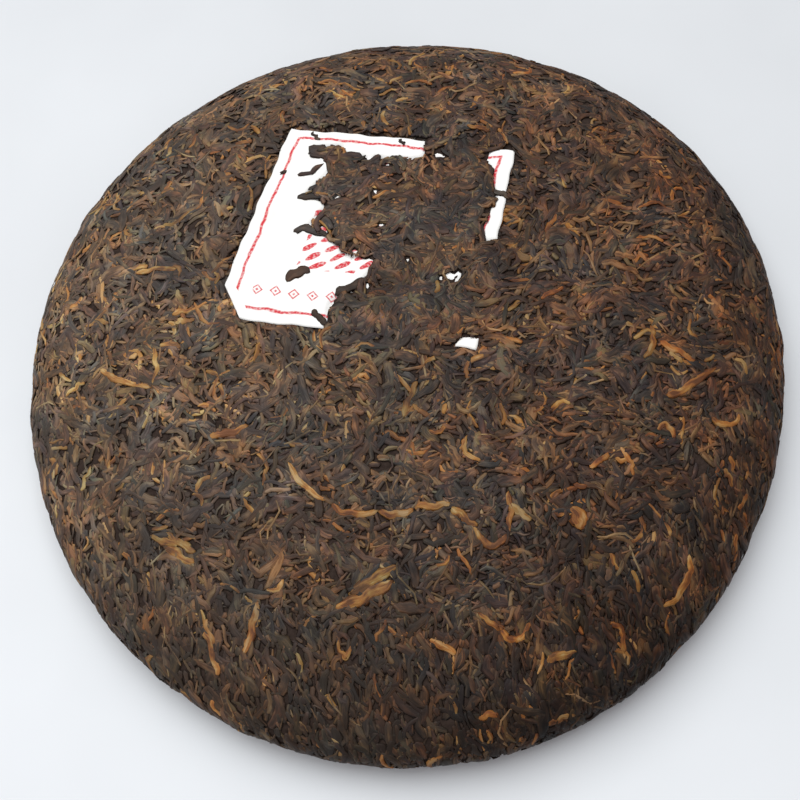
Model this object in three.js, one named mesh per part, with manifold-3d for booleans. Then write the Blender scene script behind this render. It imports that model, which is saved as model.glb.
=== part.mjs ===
// Pu erh tea cake: a round of twisted tea leaves pressed hard, domed on top and hollowed
// underneath, with a thin paper ticket pressed in under its top leaves.
// Millimetres, +Z up, origin on the floor under the middle of the cake.

import * as THREE from 'three';
import { mergeVertices } from 'three/addons/utils/BufferGeometryUtils.js';
import Module from 'manifold-3d';

const wasm = await Module();
wasm.setup();

// Pressed cake
const CAKE_RADIUS = 100;
const CAKE_HEIGHT = 27;
const RIM_HEIGHT = 9; // where the side is widest
const FOOT_OUTER = 84; // flat ring that the cake rests on
const FOOT_INNER = 64;
const VAULT_RISE = 1.4; // the underside lifts a little between the foot and the hollow
const HOLLOW_RADIUS = 31; // left by the knot of the pressing cloth
const HOLLOW_DEPTH = 9.5;
const CAKE_SIDES = 64;
const CURVE_STEPS = 10;
const WELD = 1e-4; // points closer than this are one point

// Fullness of the section's curves, as shares of the lengths they bend over
const DOME_FULLNESS = 0.66;
const SHOULDER_FULLNESS = 0.6;
const SIDE_FULLNESS = 0.45;
const TUCK_FULLNESS = 0.55;
const HOLLOW_LIP = 0.8;
const HOLLOW_TOP = 0.6;
const HOLLOW_LIP_RISE = 2 * VAULT_RISE;

// Unevenness of a hand-pressed round: waves round the rim, and a rise and fall of the dome
const RIM_WAVES = [
  { count: 2, size: 0.5, peak: 57 },
  { count: 3, size: 1.0, peak: 26 },
  { count: 4, size: 0.35, peak: 27 },
];
const DOME_WAVE = { count: 3, share: 0.02, peak: 70 };

// Leaf strips that stand out of the pressed surface
const STRIP_LENGTH = [9, 17];
const STRIP_WIDTH = [1.8, 3.0];
const STRIP_THICKNESS = 1.2;
const STRIP_LIFT = 0.12; // how far a strip's middle stands above the skin
const STRIP_BEND = 0.12; // sideways bow as a share of the length
const STRIP_SIDES = 4;
const STRIP_STEPS = 6;
const STRIP_SEED = 357;
const TOP_STRIPS = 62;
const TOP_END = 0.86; // share of the dome that the top strips cover
const RIM_STRIPS = 24;
const RIM_START = 0.9; // share of the dome where the rim strips begin
const RIM_OVERHANG = 3; // how far they go on under the widest part
const RIM_SWING = 0.7; // how far their headings vary, in radians
const UNDER_STRIPS = 8;
const UNDER_SWING = 0.6;
const HOLLOW_MARGIN = 5; // left free at the hollow's edge
const GOLDEN_ANGLE = Math.PI * (3 - Math.sqrt(5));

// Paper ticket, in its own plane: x along its top edge, y towards that edge
const TICKET_CENTRE = [0, 32.5];
const TICKET_TURN = THREE.MathUtils.degToRad(-18.8);
const TICKET_OUTLINE = [[-29.8, 29.2], [31.7, 29.2], [29.8, -29.3], [-31.2, -29.3], [-37.4, -20.1]];
const TICKET_THICKNESS = 0.3;
const TICKET_CLEAR = 0.35; // air round the paper in its slot
const COVER_THICKNESS = 0.9; // leaves that lie over the paper
const COVER_OUTLINE = [
  [7.5, 34], [7.5, 24], [-13, 22.5], [-14, 26], [-23.5, 24.5], [-16.5, 18], [-22.5, 8], [-15.5, 6],
  [-20.5, -2], [-12.5, -4], [-7, -9.5], [0, -9], [-1, -12.5], [-10, -22], [-9, -34], [22, -34],
  [25.5, -27], [40, -24], [40, 3], [27, 1.5], [29.5, 14], [25.5, 27], [24, 34],
];
const STRIP_CLEAR_OF_TICKET = 44;
const STRIP_ON_COVER = 11;
const COVER_MIDDLE = [8, -4];

const TEA = new THREE.MeshStandardMaterial({ color: 0x514237, roughness: 0.75, metalness: 0 });
const PAPER = new THREE.MeshStandardMaterial({ color: 0xf4f2ee, roughness: 0.9, metalness: 0 });

// Half section of the cake, from the top of the dome round the rim to the top of the hollow
const domeBend = DOME_FULLNESS * CAKE_RADIUS;
const shoulder = RIM_HEIGHT + SHOULDER_FULLNESS * (CAKE_HEIGHT - RIM_HEIGHT);
const tuck = FOOT_OUTER + TUCK_FULLNESS * (CAKE_RADIUS - FOOT_OUTER);
const hollowLip = HOLLOW_LIP * HOLLOW_RADIUS;
const hollowTop = HOLLOW_TOP * HOLLOW_RADIUS;
const section = new THREE.Path();
section.moveTo(0, CAKE_HEIGHT);
section.bezierCurveTo(domeBend, CAKE_HEIGHT, CAKE_RADIUS, shoulder, CAKE_RADIUS, RIM_HEIGHT);
section.bezierCurveTo(CAKE_RADIUS, SIDE_FULLNESS * RIM_HEIGHT, tuck, 0, FOOT_OUTER, 0);
section.lineTo(FOOT_INNER, 0);
section.lineTo(HOLLOW_RADIUS, VAULT_RISE);
section.bezierCurveTo(hollowLip, HOLLOW_LIP_RISE, hollowTop, HOLLOW_DEPTH, 0, HOLLOW_DEPTH);
const sectionLength = section.getLength();
const [dome, tuckUnder, foot, vault] = section.curves;
const domeReach = dome.getLength();
const rimReach = domeReach + tuckUnder.getLength();
const vaultReach = rimReach + foot.getLength();
const underEnd = vaultReach + vault.getLength() - HOLLOW_MARGIN;

// Seeded draws between 0 and 1
function makeDraw(seed) {
  let state = seed;
  return () => {
    state = (state + 0x6d2b79f5) | 0;
    let mixed = Math.imul(state ^ (state >>> 15), 1 | state);
    mixed = (mixed + Math.imul(mixed ^ (mixed >>> 7), 61 | mixed)) ^ mixed;
    return ((mixed ^ (mixed >>> 14)) >>> 0) / 2 ** 32;
  };
}

// Closed geometry to a solid that can be joined and cut, and back
function toSolid(geometry) {
  geometry.deleteAttribute('normal');
  geometry.deleteAttribute('uv');
  const merged = mergeVertices(geometry, WELD);
  const corners = merged.index.array;
  const faces = [];
  for (let i = 0; i < corners.length; i += 3) {
    const [a, b, c] = corners.slice(i, i + 3);
    if (a !== b && b !== c && c !== a) faces.push(a, b, c);
  }
  return new wasm.Manifold(new wasm.Mesh({
    numProp: 3,
    vertProperties: new Float32Array(merged.attributes.position.array),
    triVerts: new Uint32Array(faces),
  }));
}

function toGeometry(solid) {
  const mesh = solid.getMesh();
  const geometry = new THREE.BufferGeometry();
  geometry.setAttribute('position', new THREE.BufferAttribute(mesh.vertProperties, 3));
  geometry.setIndex(new THREE.BufferAttribute(mesh.triVerts, 1));
  return geometry;
}

// Half section turned round the upright axis
function turned(points) {
  return toSolid(new THREE.LatheGeometry(points, CAKE_SIDES).rotateX(Math.PI / 2));
}

// Layer of the cake between two depths under the dome
function domeLayer(upper, lower) {
  const skin = dome.getPoints(CURVE_STEPS);
  const under = skin.map((point) => new THREE.Vector2(point.x, point.y - lower));
  const over = skin.map((point) => new THREE.Vector2(point.x, point.y - upper));
  return turned([...under, ...over.reverse()]);
}

// Upright prism over an outline drawn in the ticket's plane
function ticketPrism(outline, margin) {
  const halfHeight = outline[0][1];
  const spread = 1 + margin / halfHeight;
  const corners = outline.map(([x, y]) => new THREE.Vector2(x * spread, y * spread));
  const prism = new THREE.ExtrudeGeometry(new THREE.Shape(corners), {
    depth: 2 * CAKE_HEIGHT,
    bevelEnabled: false,
  });
  prism.rotateZ(TICKET_TURN);
  prism.translate(...TICKET_CENTRE, 0);
  return toSolid(prism);
}

// Place on the cake's skin: reach along the section from the dome's top, turn about the axis
function onSkin(reach, turn, out, side, up) {
  const radius = section.getPoint((reach + out) / sectionLength).x;
  const share = (reach + out + Math.hypot(radius, side) - radius) / sectionLength;
  const seat = section.getPoint(share);
  const tangent = section.getTangent(share);
  const spot = new THREE.Vector2(seat.x - tangent.y * up, seat.y + tangent.x * up);
  const angle = turn + Math.atan2(side, radius);
  return new THREE.Vector3(spot.x * Math.cos(angle), spot.x * Math.sin(angle), spot.y);
}

// One twisted leaf: a flat spindle, bowed sideways and half sunk in the skin
function leafStrip({ reach, turn, heading, length, width, bow }) {
  const strip = new THREE.SphereGeometry(1, STRIP_STEPS, STRIP_SIDES).rotateZ(Math.PI / 2);
  const places = strip.attributes.position;
  const spot = new THREE.Vector3();
  for (let i = 0; i < places.count; i += 1) {
    spot.fromBufferAttribute(places, i);
    const along = (spot.x * length) / 2;
    const across = (spot.y * width) / 2 + bow * (1 - spot.x * spot.x);
    const up = (spot.z * STRIP_THICKNESS) / 2 + STRIP_LIFT;
    const out = along * Math.cos(heading) - across * Math.sin(heading);
    const side = along * Math.sin(heading) + across * Math.cos(heading);
    places.setXYZ(i, ...onSkin(reach, turn, out, side, up));
  }
  return toSolid(strip);
}

// Strips are spread like the seeds of a sunflower, the bare paper and its edges left free
function leafStrips() {
  const draw = makeDraw(STRIP_SEED);
  const between = ([low, high]) => low + (high - low) * draw();
  const longest = STRIP_LENGTH[1];
  const bands = [
    { count: TOP_STRIPS, from: longest / 2, to: TOP_END * domeReach, swing: Math.PI },
    { count: RIM_STRIPS, from: RIM_START * domeReach, to: domeReach + RIM_OVERHANG, swing: RIM_SWING },
    { count: UNDER_STRIPS, from: vaultReach + longest, to: underEnd, swing: UNDER_SWING },
  ];
  const strips = [];
  for (const { count, from, to, swing } of bands) {
    for (let i = 0; i < count; i += 1) {
      const share = (i + 0.5) / count;
      const strip = {
        reach: Math.sqrt(from * from + (to * to - from * from) * share),
        turn: i * GOLDEN_ANGLE,
        heading: Math.PI / 2 + swing * (draw() - 0.5),
        length: between(STRIP_LENGTH),
        width: between(STRIP_WIDTH),
        bow: STRIP_BEND * longest * (draw() - 0.5),
      };
      if (clearOfTicket(strip)) strips.push(leafStrip(strip));
    }
  }
  return strips;
}

function clearOfTicket({ reach, turn }) {
  if (reach > domeReach) return true;
  const spot = onSkin(reach, turn, 0, 0, 0);
  const plan = new THREE.Vector2(spot.x - TICKET_CENTRE[0], spot.y - TICKET_CENTRE[1]);
  plan.rotateAround(new THREE.Vector2(), -TICKET_TURN);
  const onCover = plan.distanceTo(new THREE.Vector2(...COVER_MIDDLE)) < STRIP_ON_COVER;
  return onCover || plan.length() > STRIP_CLEAR_OF_TICKET;
}

// The same unevenness for the cake and the paper in it, none at the floor
function uneven(geometry) {
  const places = geometry.attributes.position;
  const spot = new THREE.Vector3();
  const wave = ({ count, peak }, angle) => Math.cos(count * (angle - THREE.MathUtils.degToRad(peak)));
  for (let i = 0; i < places.count; i += 1) {
    spot.fromBufferAttribute(places, i);
    const angle = Math.atan2(spot.y, spot.x);
    const out = Math.hypot(spot.x, spot.y) / CAKE_RADIUS;
    const swell = RIM_WAVES.reduce((sum, rim) => sum + rim.size * wave(rim, angle), 0);
    const spread = 1 + (swell / CAKE_RADIUS) * out * out;
    const rise = 1 + DOME_WAVE.share * wave(DOME_WAVE, angle) * out;
    places.setXYZ(i, spot.x * spread, spot.y * spread, spot.z * rise);
  }
  geometry.computeVertexNormals();
  return geometry;
}

// The cake, with a slot for the paper and the windows where the paper lies bare
function teaCake() {
  const slotFloor = COVER_THICKNESS + TICKET_THICKNESS + 2 * TICKET_CLEAR;
  const slotPrism = ticketPrism(TICKET_OUTLINE, TICKET_CLEAR);
  const cover = ticketPrism(COVER_OUTLINE, 0);
  const slot = domeLayer(COVER_THICKNESS, slotFloor).intersect(slotPrism);
  const windows = domeLayer(-STRIP_THICKNESS, slotFloor).intersect(slotPrism.subtract(cover));
  const pressed = turned(section.getPoints(CURVE_STEPS).reverse()).subtract(slot).subtract(windows);
  return leafStrips().reduce((cake, strip) => cake.add(strip), pressed);
}

function paperTicket() {
  const top = COVER_THICKNESS + TICKET_CLEAR;
  return domeLayer(top, top + TICKET_THICKNESS).intersect(ticketPrism(TICKET_OUTLINE, 0));
}

function piece(name, solid, material) {
  const mesh = new THREE.Mesh(uneven(toGeometry(solid)), material);
  mesh.name = name;
  return mesh;
}

const cake = new THREE.Group();
cake.add(piece('tea_cake', teaCake(), TEA));
cake.add(piece('paper_ticket', paperTicket(), PAPER));

export default cake;
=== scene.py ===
"""Pu erh tea cake: pressed leaves over a dark core, a paper ticket, a pale floor, soft light and a camera.

The packed part gives the frame. Lengths are in metres.
"""

import math
from dataclasses import dataclass, fields

import bpy
import numpy as np
from bpy.props import FloatProperty, FloatVectorProperty, IntProperty, PointerProperty
from bpy.types import Operator, Panel, PropertyGroup
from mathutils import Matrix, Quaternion, Vector


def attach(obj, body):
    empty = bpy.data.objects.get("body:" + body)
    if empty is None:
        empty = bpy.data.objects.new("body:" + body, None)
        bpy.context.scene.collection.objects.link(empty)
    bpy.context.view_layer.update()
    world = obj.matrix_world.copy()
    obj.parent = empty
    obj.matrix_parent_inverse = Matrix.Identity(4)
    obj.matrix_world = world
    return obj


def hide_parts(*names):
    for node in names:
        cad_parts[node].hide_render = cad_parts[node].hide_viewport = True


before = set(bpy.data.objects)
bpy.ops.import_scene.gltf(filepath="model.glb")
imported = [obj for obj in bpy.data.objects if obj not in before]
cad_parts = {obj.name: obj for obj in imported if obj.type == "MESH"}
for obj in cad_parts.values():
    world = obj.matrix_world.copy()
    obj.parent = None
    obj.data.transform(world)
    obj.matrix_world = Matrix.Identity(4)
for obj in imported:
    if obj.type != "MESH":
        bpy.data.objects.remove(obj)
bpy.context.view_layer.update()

bl_info = {
    "name": "Pu Erh Tea Cake",
    "version": (1, 0, 0),
    "blender": (4, 5, 0),
    "location": "3D View > Sidebar > Tea Cake",
    "description": "Dresses a pressed tea cake with its leaves and its paper ticket",
    "category": "Object",
}

MM = 0.001
GOLDEN_ANGLE = math.pi * (3 - math.sqrt(5))

# Fullness of the section's curves, as in the packed part, as shares of the lengths they bend over
DOME_FULLNESS = 0.66
SHOULDER_FULLNESS = 0.6
SIDE_FULLNESS = 0.45
TUCK_FULLNESS = 0.55
HOLLOW_LIP = 0.8
HOLLOW_TOP = 0.6
HOLLOW_LIP_RISE = 2  # times the vault's rise

# Unevenness of the round, as in the packed part: waves as (count, size, peak in degrees)
RIM_WAVES = ((2, 0.5 * MM, 57), (3, 1.0 * MM, 26), (4, 0.35 * MM, 27))
DOME_WAVE = (3, 0.02, 70)
# Finer waves of the leaves' own edge round the rim
FINE_WAVES = ((19, 0.12 * MM, 10), (31, 0.1 * MM, 40), (53, 0.1 * MM, 75))

# A leaf strip's steps along its length, and its cut as (across, up) points
STEPS = np.array([-1, -0.86, -0.48, 0, 0.48, 0.86, 1])
SHORT_STEPS = np.array([-1, -0.75, 0, 0.75, 1])
CRUMB_STEPS = np.array([-1, -0.5, 0.5, 1])
TRACE_STEPS = np.linspace(-1, 1, 15)
CUT = np.array([(-1, -0.6), (-0.55, 0.9), (0.55, 1.0), (1, -0.6)])
CUT_EDGE = (CUT[:, 0] > 0).astype(int)
KNOT_PACE = 3  # knots to half a strip's length, where its edges go in and out
EDGE_KNOTS = np.linspace(-1, 1, 2 * KNOT_PACE + 1)
TAPER_POWER = 4  # a higher power keeps a strip's width nearer to its ends

# How the strips vary: least and most, the spread of a normal draw, or the two numbers of a beta draw
LENGTH_DRAW = (1.5, 2.6)
WIDTH_DRAW = (1.8, 2.2)
TONE_DRAW = (2.0, 2.2)
THICKNESS_RANGE = (0.75, 1.25)  # shares of the kind's thickness
LIFT_RANGE = (-0.22, -0.04)  # millimetres from the skin to a strip's middle
LIMIT_RANGE = (-0.1, 0.08)  # millimetres from the skin to what a strip is pressed down to
TRACE_LIMIT_RANGE = (0.12, 0.22)  # the same from a traced strip's middle
POINT_RANGE = (0.15, 0.7)  # from blunt ends to pointed ones
EDGE_RANGE = (0.62, 1.38)  # shares of half the width
RIDGE_RANGE = (0.55, 1.15)  # shares of half the thickness
LEAN_SPREAD = 0.06  # radians
TWIST_SPREAD = 0.08
SWAY_SPREAD = 0.06  # shares of the length
CURL_FREEDOM = 4  # the lower, the more strips curl far more than is usual
MOST_CURL = 0.36

# How the strips lie. Places on the way from the dome's top to its rim are shares of it
SEAT_SWING = 0.5  # radians round the cake
FLOW_SIZE = 1.5  # radians
FLOW_WAVES = ((190, 1.4, 150, 0), (170, 1.2, 220, 2))  # pace, bend, bend's pace, start
FLOW_SWING = 0.55
RIM_SWING = 0.4
RIM_START = 0.84
RIM_SPAN = 0.1
FRONT_RIM = 0.22  # how much earlier the rim begins in front
FOOT_FADE = 2 * MM
LOOSE_START = 0.9
LOOSE_SPAN = 0.06
LOOSE_LIFT = 0.24 * MM
THIN_START = 25 * MM  # from the middle to where the front and the right begin
THIN_SPAN = 40 * MM
TRACE_WAVER = 0.36 * MM
WAVER_PACES = (6, 11)
PRESS_SOFTNESS = 0.05 * MM
FLOOR_GAP = 0.05 * MM
UNDER_PAPER = 0.6 * MM
OUTSIDE_OVERLAP = 0.04  # share of a strip beside the ticket that may lie on bare paper
INSIDE_OVERLAP = 0.1

# Map for baking, and the grain's step from one strip to the next
BAKE_MARGIN = 0.06
GRAIN_STEP = 7.3

# Paper ticket in its own plane, in millimetres: x along its top edge, y towards that edge
TICKET_CENTRE = (0.0, 32.5)
TICKET_TURN = math.radians(-18.8)
TICKET_CORNERS = ((-29.8, 29.2), (31.7, 29.2), (29.8, -29.3), (-38.8, -29.3))
TICKET_CUT = ((-31.2, -29.3), (-37.4, -20.1))
TICKET_OUTLINE = TICKET_CORNERS[:3] + TICKET_CUT
SHEET_HALF = Vector((31.0, 29.2))
COVER_OUTLINE = (
    (7.5, 34), (7.5, 24), (-13, 22.5), (-14, 26), (-23.5, 24.5), (-16.5, 18), (-22.5, 8), (-15.5, 6),
    (-20.5, -2), (-12.5, -4), (-7, -9.5), (0, -9), (-1, -12.5), (-10, -22), (-9, -34), (22, -34),
    (25.5, -27), (40, -24), (40, 3), (27, 1.5), (29.5, 14), (25.5, 27), (24, 34),
)
COVER_BOX = ((-25, -32), (33, 32))  # lowest and highest places of the strips laid on the ticket
COVER_TRIES = 4  # seats drawn there for each one wanted

# Specks of paper that show through the leaves over it, as (x, y, radius) in the ticket's plane
PAPER_SPECKS = (
    (11.6, 25.3, 0.7), (12.6, 25.0, 0.7), (13.6, 24.7, 0.7), (9.6, 20.4, 0.5), (2.2, 16.6, 0.6),
    (-6.8, 16.4, 0.8), (-6.4, 21.6, 0.8), (-1.3, 20.0, 1.0), (-12.8, 8.6, 1.1), (-3.0, 11.6, 0.9),
    (-2.7, 8.5, 0.6), (-6.2, 7.5, 0.5), (0.5, 1.9, 1.0), (-1.3, -1.3, 0.7), (-14.7, -1.2, 1.1),
    (-5.3, -6.5, 1.1), (5.2, 0.4, 0.5), (8.8, -7.2, 1.0), (-0.6, -9.3, 0.8), (-0.2, -16.0, 0.7),
    (-4.0, -18.2, 0.7), (20.3, -10.4, 1.1), (18.0, -11.4, 0.7), (22.4, -9.4, 0.9), (21.8, -11.2, 0.8),
)
SPECK_KEPT = 0.3  # share of a speck's radius that strips stay clear of
SPECK_WEIGHT = 0.8  # how far a speck lifts the paper, next to a bare place

# Leaf bits lying on the bare paper: three places in its plane, a width and a tone
PAPER_BITS = (
    ((-23.8, 24.0), (-18.5, 22.5), (-13.4, 24.3), 4.6, 0.5),
    ((-23.5, 21.5), (-20, 21.5), (-16, 19.5), 2.4, 0.2),
    ((-25.2, 14.8), (-22.0, 15.4), (-18.4, 18.9), 1.6, 0.0),
    ((-29.6, 14.6), (-29, 15), (-28.2, 15.2), 1.2, 0.0),
    ((-23.6, 7.3), (-19.4, 8.4), (-12.5, 9.2), 2.8, 0.0),
    ((-22.4, -3.1), (-19.2, -1.6), (-13.0, -3.0), 2.3, 0.1),
    ((-21.2, -17.4), (-19.2, -14.5), (-15.6, -14.1), 3.0, 0.1),
    ((-13.4, -24.5), (-11.0, -26.3), (-8.6, -28.0), 2.4, 0.0),
    ((-8.2, -19.6), (-4.3, -16.6), (0.4, -13.8), 2.6, 0.1),
    ((26.4, 16.3), (29.5, 15.6), (32.6, 14.4), 1.5, 0.9),
    ((-23.6, 28.8), (-22.4, 27.5), (-21.4, 26.5), 1.0, 0.3),
    ((0.3, 28.9), (1.4, 28.1), (2.5, 27.4), 1.0, 0.3),
)

# Leaves that catch the eye on the dome, in millimetres: three places on the plan, a width and a tone
GOLDEN_TRACES = (
    ((-32, -25), (-28.5, -32), (-23, -36.5), 2.0, 0.75),
    ((-23, -37), (-18.5, -40.5), (-12, -41), 2.0, 0.6),
    ((-12, -41), (-7.5, -42.5), (-3.5, -42), 2.2, 0.5),
    ((-3, -41), (1.5, -42), (5.5, -42), 2.0, 0.75),
    ((5.5, -43), (8, -46), (10.5, -49), 2.4, 0.35),
    ((9.5, -48), (13, -53.5), (17.5, -51.5), 1.8, 0.4),
    ((17.5, -51.5), (19, -46.5), (19.5, -41.5), 1.8, 0.3),
    ((19, -44.5), (21, -47), (23.5, -49.5), 2.0, 0.85),
    ((11.5, -72.5), (14.5, -76), (19, -72.5), 1.9, 0.35),
    ((7, -68), (10, -71.5), (12.5, -73), 1.6, 0.4),
    ((33.5, -48), (35, -51), (35, -54), 4.2, 0.5),
    ((63, -24.5), (69, -23), (78, -18.5), 2.4, 0.3),
    ((63, -5.5), (63, -10), (59.5, -14.5), 1.8, 0.55),
    ((64.5, -10), (69, -13.5), (73, -16.5), 2.0, 0.45),
    ((73.5, -31.5), (78, -34), (81, -31.5), 1.8, 0.45),
    ((60, -63.5), (58, -70), (50.5, -75), 1.9, 0.6),
    ((59, -33), (61.5, -32), (62.5, -36), 1.8, 0.45),
    ((-68.5, -36.5), (-65, -38.5), (-61.5, -40), 2.4, 0.5),
    ((-65, -40), (-61.5, -43), (-58, -45.5), 2.8, 0.4),
    ((-64.5, -36.5), (-61, -39.5), (-57.5, -42.5), 2.2, 0.6),
    ((-58, -61), (-57, -66.5), (-56.5, -72), 1.8, 0.5),
    ((-44, -56.5), (-46.5, -63), (-49, -68.5), 2.0, 0.6),
    ((-51, -14.5), (-46, -15), (-40, -14), 2.4, 0.35),
    ((-65.5, 34.5), (-60, 34.5), (-53.5, 33), 1.8, 0.7),
    ((20.5, -81.5), (24, -81), (28.5, -81), 2.2, 0.35),
    ((28, 60.5), (32, 59), (34.5, 57.5), 1.7, 0.35),
    ((-2.5, -19.5), (0.5, -14), (3, -10.5), 1.8, 0.5),
    ((-77.5, 10), (-71.5, 5), (-63.5, 1), 2.2, 0.75),
    ((-62.5, 12), (-62, 7.5), (-63.5, 1.5), 1.6, 0.7),
    ((-87.5, 4.5), (-84.5, 6.5), (-82, 7), 1.5, 0.8),
    ((-85.5, -21.5), (-84, -18.5), (-82, -15.5), 1.4, 0.75),
    ((-56, 20.5), (-54, 20.5), (-51, 20), 1.8, 0.75),
    ((-56, 17.5), (-53.5, 17.5), (-50.5, 17), 1.8, 0.65),
    ((-26.5, -68.5), (-25.5, -73), (-23.5, -70.5), 1.6, 0.45),
    ((-5, -72.5), (-2.5, -74.5), (0.5, -76.5), 2.2, 0.6),
    ((3, -91), (5.5, -90.5), (7.5, -91.5), 1.8, 0.6),
    ((18.5, -95.5), (21.5, -94.5), (25.5, -94), 1.8, 0.55),
    ((73.5, -45), (74.5, -46.5), (75, -49.5), 1.6, 0.35),
    ((50, -43), (50.5, -40), (48.5, -35.5), 1.6, 0.35),
    ((40, -39.5), (43, -38), (45.5, -37), 1.6, 0.35),
    ((37, -76), (39.5, -78), (39, -83), 1.7, 0.4),
    ((33.5, -44), (36, -43.5), (38.5, -44), 1.6, 0.4),
    ((-26, -62), (-19, -60.5), (-11, -57.5), 3.4, 0.2),
    ((-22, -59), (-16, -57), (-9.5, -54.5), 3.0, 0.25),
)
BROWN_TRACES = (
    ((54.5, 13.5), (59, 12), (63.5, 8.5), 2.2, 0.9),
    ((58, 15.5), (61, 14.5), (63.5, 13.5), 2.0, 0.95),
    ((-44.5, -47), (-42, -50.5), (-35.5, -45), 2.2, 0.85),
    ((-39.5, -44.5), (-37, -48.5), (-42.5, -54.5), 2.2, 0.9),
    ((11, -18), (14, -20.5), (17.5, -18), 1.8, 0.9),
)


def srgb(red, green, blue):
    """Scene colour of a display colour given as 0 to 255."""
    return tuple(((value / 255 + 0.055) / 1.055) ** 2.4 for value in (red, green, blue))


def length_prop(name, description, default):
    return FloatProperty(
        name=name, description=description, default=default, min=0, unit="LENGTH", precision=4
    )


def share_prop(name, description, default):
    return FloatProperty(name=name, description=description, default=default, min=0, max=1, subtype="FACTOR")


def number_prop(name, description, default, subtype="NONE"):
    return FloatProperty(name=name, description=description, default=default, subtype=subtype)


def count_prop(name, description, default):
    return IntProperty(name=name, description=description, default=default, min=0)


def colour_prop(name, description, default):
    return FloatVectorProperty(
        name=name, description=description, default=default, size=3, min=0, max=1, subtype="COLOR"
    )


class TeaCakeForm(PropertyGroup):
    """Sizes of the pressed round."""

    radius: length_prop("Radius", "Radius at the widest part of the side", 100 * MM)
    height: length_prop("Height", "Height of the dome's top above the floor", 27 * MM)
    rim_height: length_prop("Rim Height", "Height of the widest part of the side", 9 * MM)
    foot_outer: length_prop("Foot Outer", "Outer radius of the flat foot ring", 84 * MM)
    foot_inner: length_prop("Foot Inner", "Inner radius of the flat foot ring", 64 * MM)
    vault_rise: length_prop("Vault Rise", "Lift of the underside at the hollow's edge", 1.4 * MM)
    hollow_radius: length_prop("Hollow Radius", "Radius of the hollow underneath", 31 * MM)
    hollow_depth: length_prop("Hollow Depth", "Depth of the hollow underneath", 9.5 * MM)
    core_depth: length_prop("Core Depth", "Depth of the dark core under the leaves' skin", 0.42 * MM)
    core_colour: colour_prop("Core Colour", "Colour of the dark mass between the leaves", srgb(58, 46, 40))


TONES = ("deep", "dull", "main", "warm", "light")


def leaf_group(title, counts, length, width, thickness, curl, tint, front, *tones):
    """Property group for one kind of leaf: how many, how large, how they change in front, and five tones."""
    numbers = {
        "count": ("Count", "Number of strips", counts[0]),
        "on_ticket": ("On Ticket", "More strips on the ticket", counts[1]),
    }
    lengths = {
        "shortest": ("Shortest", "Length of the shortest strips", length[0] * MM),
        "longest": ("Longest", "Length of the longest strips", length[1] * MM),
        "narrowest": ("Narrowest", "Width of the narrowest strips", width[0] * MM),
        "widest": ("Widest", "Width of the widest strips", width[1] * MM),
        "thickness": ("Thickness", "Thickness of a strip", thickness * MM),
    }
    shares = {
        "curl": ("Curl", "Usual bow of a strip as a share of its length", curl),
        "tint": ("Tint", "Strength of the hues that tell the strips apart", tint),
        "front_share": ("Front Share", "Share of the strips kept in front and on the right", front[0]),
        # The brightness of the strips in front is painted shade
        "front_tone": ("Front Tone", "Brightness of the strips in front", front[1]),
    }
    colours = {
        key: (f"{key.title()} Tone", f"The kind's {key} colour", srgb(*tone))
        for key, tone in zip(TONES, tones)
    }
    notes = {}
    for make, group in (
        (count_prop, numbers), (length_prop, lengths), (share_prop, shares), (colour_prop, colours)
    ):
        notes.update({key: make(*values) for key, values in group.items()})
    contents = {"__annotations__": notes, "__doc__": "Number, sizes and tones of one leaf kind."}
    return type(title, (PropertyGroup,), contents)


BrokenLeaves = leaf_group(
    "BrokenLeaves", (2300, 220), (4, 11), (1.7, 3.6), 0.3, 0.1, 0.9, (1.0, 0.36),
    (43, 33, 29), (53, 43, 37), (64, 50, 41), (80, 61, 47), (98, 78, 58),
)
DarkLeaves = leaf_group(
    "DarkLeaves", (3700, 300), (3.5, 11.5), (0.9, 2.1), 0.36, 0.12, 1.0, (1.0, 0.36),
    (43, 34, 31), (50, 42, 38), (58, 47, 41), (68, 54, 44), (86, 72, 60),
)
BrownLeaves = leaf_group(
    "BrownLeaves", (2900, 80), (3, 10.5), (0.8, 1.9), 0.34, 0.13, 0.6, (0.75, 0.4),
    (56, 43, 34), (76, 56, 41), (87, 67, 50), (100, 76, 52), (115, 93, 69),
)
GoldenTips = leaf_group(
    "GoldenTips", (1000, 0), (3, 10), (0.8, 1.9), 0.36, 0.2, 0.45, (0.5, 0.85),
    (86, 55, 34), (113, 74, 40), (125, 88, 46), (133, 101, 57), (139, 116, 80),
)
TeaStems = leaf_group(
    "TeaStems", (420, 0), (6, 14), (0.5, 1.0), 0.42, 0.08, 0.45, (0.7, 0.6),
    (66, 53, 42), (86, 70, 52), (100, 78, 54), (114, 94, 68), (130, 112, 86),
)
FineStrands = leaf_group(
    "FineStrands", (5600, 300), (2.5, 7), (0.5, 1.05), 0.3, 0.12, 0.9, (1.0, 0.36),
    (43, 34, 31), (54, 44, 39), (68, 54, 44), (86, 68, 51), (108, 88, 67),
)
LeafCrumbs = leaf_group(
    "LeafCrumbs", (8500, 400), (1.8, 4.4), (0.8, 2.0), 0.3, 0.1, 0.9, (1.0, 0.4),
    (43, 34, 31), (50, 41, 36), (60, 47, 39), (78, 60, 46), (106, 82, 58),
)
LEAF_GROUPS = (BrokenLeaves, DarkLeaves, BrownLeaves, GoldenTips, TeaStems, FineStrands, LeafCrumbs)


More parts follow.
